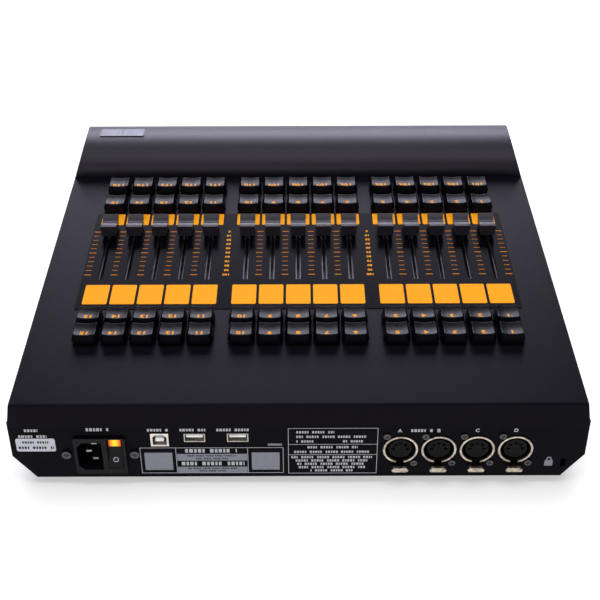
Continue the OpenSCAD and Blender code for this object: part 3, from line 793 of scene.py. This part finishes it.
def print_padlock(shape):
    """A plain closed padlock: a rounded body under an arched shackle."""
    shape.prism(plain_round_box(*PADLOCK_BODY, 0.6), *PRINT)
    leg = 0.6
    u, v = (PADLOCK_BODY[0] + PADLOCK_BODY[2]) / 2, PADLOCK_BODY[3] + leg
    arc = [math.radians(180 * i / 12) for i in range(13)]
    (wide, high_arch), (narrow, low_arch) = SHACKLE
    outer = [(u + wide * math.cos(t), v + high_arch * math.sin(t)) for t in arc]
    inner = [(u + narrow * math.cos(t), v + low_arch * math.sin(t)) for t in reversed(arc)]
    sides = [(u + wide, v - leg), *outer, (u - wide, v - leg)]
    shape.prism([*sides, (u - narrow, v - leg), *inner, (u + narrow, v - leg)], *PRINT)


def make_panel_print():
    white, grey, dark = Shape(PANEL), Shape(PANEL), Shape(PANEL)
    for letter in SOCKETS:
        u = -MOUNTS["output_socket_" + letter].x - 1
        white.place = PANEL @ Matrix.Translation((u, INDEX_V, 0))
        white.text(letter.upper(), INDEX_HEIGHT, PRINT[1])
    white.place = PANEL
    for u0, u1, v, height in HEADINGS:
        blind_line(white, u0, u1, v, height)
    outline_box(white, *NOTICE_BOX)
    outline_box(white, *RATING_BOX)
    for u in NOTICE_DIVIDERS:
        bar(white, u - LINE / 2, NOTICE_BOX[1] + LINE, u + LINE / 2, NOTICE_BOX[3] - LINE)
    for v in RATING_DIVIDERS:
        bar(white, RATING_BOX[0] + LINE, v - LINE / 2, RATING_BOX[2] - LINE, v + LINE / 2)
    for u0, u1, v, height, seed in BLIND_LINES:
        blind_line(white, u0, u1, v, height, seed)
    for field in GREY_FIELDS:
        grey.prism(plain_round_box(*field, 0.4), *PRINT)
    for u0, u1, v, height, seed in DARK_LINES:
        dark.place = PANEL @ Matrix.Translation((0, 0, PRINT[1]))
        blind_line(dark, u0, u1, v, height, seed)
    print_padlock(grey)
    white.piece("panel_print", [WHITE_PRINT])
    grey.piece("panel_fields", [BOX_PRINT])
    dark.piece("panel_fine_print", [DARK_PRINT])


# Headings over the connectors: from, to, height above the plate, letter height
HEADINGS = [
    (-184, -175, -26.1, 2.3), (-188.5, -169.5, -31.4, 2.3), (-142.5, -127.5, -25.4, 2.6),
    (-101.5, -87, -26, 2.3), (-79.8, -62.5, -26, 2.3), (-55, -30.5, -26, 2.3),
    (75.5, 90, INDEX_V, 2.4),
]
NOTICE_BOX = (-107.8, -65.5, -10.3, -41.9)
NOTICE_DIVIDERS = (-83.4, -34.6)
RATING_BOX = (-7.1, -66.1, 53.5, -24.7)
RATING_DIVIDERS = (-39.3, -48.7)
# Lines of wording, as rows of blocks: from, to, height above the plate, letter height, start
BLIND_LINES = [
    (-77, -42, -44.8, 3.2, 1), (-80, -37, -56.6, 3.2, 2), (-1.5, 24, -28.3, 2.0, 1),
    (-1.5, 46, -32.4, 2.0, 3), (-1.5, 12, -36.6, 2.0, 5), (30, 46, -36.6, 2.0, 4),
    (6, 40, -41.9, 2.0, 2), (-3, 49, -46.1, 2.0, 1), (-5, 50, -51.0, 2.0, 3),
    (-2, 47, -54.1, 2.0, 1), (-1, 46, -57.2, 2.0, 4), (0, 46, -60.3, 2.0, 2),
    (8, 37, -63.4, 2.0, 5),
]
GREY_FIELDS = [
    (-82.9, -53.9, -35.1, -47.7), (-82.9, -65.0, -35.1, -59.6), (-105, -62.5, -86, -46.5),
    (-32, -62.5, -13, -46.5), (-20.8, -40.2, -11.2, -38.4),
]
DARK_LINES = [
    (-76, -43, -49.4, 1.2, 1), (-70, -48, -52.1, 1.2, 2),
    (-76, -42, -61.1, 1.2, 3), (-68, -49, -63.4, 1.2, 1),
]
PADLOCK_BODY = (168.2, -59.6, 173.8, -54.4)
SHACKLE = ((1.9, 2.6), (1.1, 1.6))
STICKER_BOX = (-191, -44.8, -164.4, -33.2)
STICKER_THICK = 0.15


def make_sticker():
    """The blank white number label."""
    label = Shape(PANEL)
    lines = Shape(PANEL @ Matrix.Translation((0, 0, STICKER_THICK)))
    label.prism(plain_round_box(*STICKER_BOX, 1.6), PRINT[0], STICKER_THICK)
    label.piece("number_label", [STICKER])
    blind_line(lines, STICKER_BOX[0] + 4.5, STICKER_BOX[2] - 4.5, -36.6, 1.9, 1)
    blind_line(lines, STICKER_BOX[0] + 1.5, STICKER_BOX[2] - 1.2, -41.4, 2.2, 2)
    lines.piece("number_label_lines", [DARK_PRINT])


make_panel_print()
make_sticker()

# ---- Floor, light and camera ----

CAMERA_BEHIND = 0.60389
CAMERA_ABOVE = 0.51694
CAMERA_SIDE = -0.00127
CAMERA_PITCH = 35.816
CAMERA_ROLL = -0.182
CAMERA_LENS = 72.33
FLOOR_HALF = 6.0
FLOOR_GLOW = 0.38
SKY_STRENGTH = 0.09
WHITE = (1.0, 1.0, 1.0)
# Area lights: name, place, target, width, height, power, colour
LIGHTS = [
    ("window", (0.05, -1.78, 0.96), (0, 0, 0.05), 1.5, 0.95, 36, (0.85, 0.83, 1.0)),
    ("overhead", (0, 0.1, 2.3), (0, 0, 0), 2.4, 2.0, 41, WHITE),
    ("fill", (0.3, 2.3, 1.5), (0, 0.19, 0.04), 1.6, 1.0, 17, WHITE),
]


def make_camera():
    """Behind the desk and above it, looking down over the connector panel."""
    camera = link(bpy.data.objects.new("camera", bpy.data.cameras.new("camera")))
    camera.location = (CAMERA_SIDE, PANEL_Y * MM + CAMERA_BEHIND, PLATE_Z * MM + CAMERA_ABOVE)
    tilt = Matrix.Rotation(math.radians(90 - CAMERA_PITCH), 4, "X")
    level = Matrix.Rotation(math.pi, 4, "Z") @ tilt
    turned = level @ Matrix.Rotation(math.radians(CAMERA_ROLL), 4, "Z")
    camera.rotation_euler = turned.to_euler()
    camera.data.sensor_width = 36
    camera.data.lens = CAMERA_LENS
    camera.data.clip_start = 0.02
    bpy.context.scene.camera = camera


def make_floor():
    """A pale sheet that the desk stands on, far larger than the view."""
    mesh = bpy.data.meshes.new("floor")
    corners = [(sx * FLOOR_HALF, sy * FLOOR_HALF, 0) for sx, sy in CORNERS]
    mesh.from_pydata(corners, [], [(0, 1, 2, 3)])
    floor = link(bpy.data.objects.new("floor", mesh))
    paper = Finish("floor_paper", (0.93, 0.93, 0.935), 0.8, specular=0.1)
    paper.vary_colour(0.8, 0.01)
    paper.shader.inputs["Emission Color"].default_value = (1, 1, 1, 1)
    paper.shader.inputs["Emission Strength"].default_value = FLOOR_GLOW
    mesh.materials.append(paper.material)


def area_light(name, place, target, width, height, power, colour):
    data = bpy.data.lights.new(name, "AREA")
    data.shape = "RECTANGLE"
    data.size, data.size_y = width, height
    data.energy = power
    data.color = colour
    lamp = link(bpy.data.objects.new(name, data))
    lamp.location = place
    lamp.rotation_euler = (Vector(target) - Vector(place)).to_track_quat("-Z", "Y").to_euler()
    lamp.visible_camera = False


def make_world():
    """Soft light from all round, and a white backdrop behind the floor's edge."""
    world = bpy.data.worlds.new("studio")
    bpy.context.scene.world = world
    world.use_nodes = True
    tree = world.node_tree
    light = tree.nodes["Background"]
    light.inputs["Color"].default_value = (0.93, 0.95, 1.0, 1)
    light.inputs["Strength"].default_value = SKY_STRENGTH
    sight = tree.nodes.new("ShaderNodeBackground")
    sight.inputs["Strength"].default_value = 1.0
    path = tree.nodes.new("ShaderNodeLightPath")
    mix = tree.nodes.new("ShaderNodeMixShader")
    tree.links.new(path.outputs["Is Camera Ray"], mix.inputs["Fac"])
    tree.links.new(light.outputs["Background"], mix.inputs[1])
    tree.links.new(sight.outputs["Background"], mix.inputs[2])
    tree.links.new(mix.outputs["Shader"], tree.nodes["World Output"].inputs["Surface"])


make_camera()
make_floor()
make_world()
for lamp_values in LIGHTS:
    area_light(*lamp_values)
bpy.context.scene.view_settings.view_transform = "Standard"
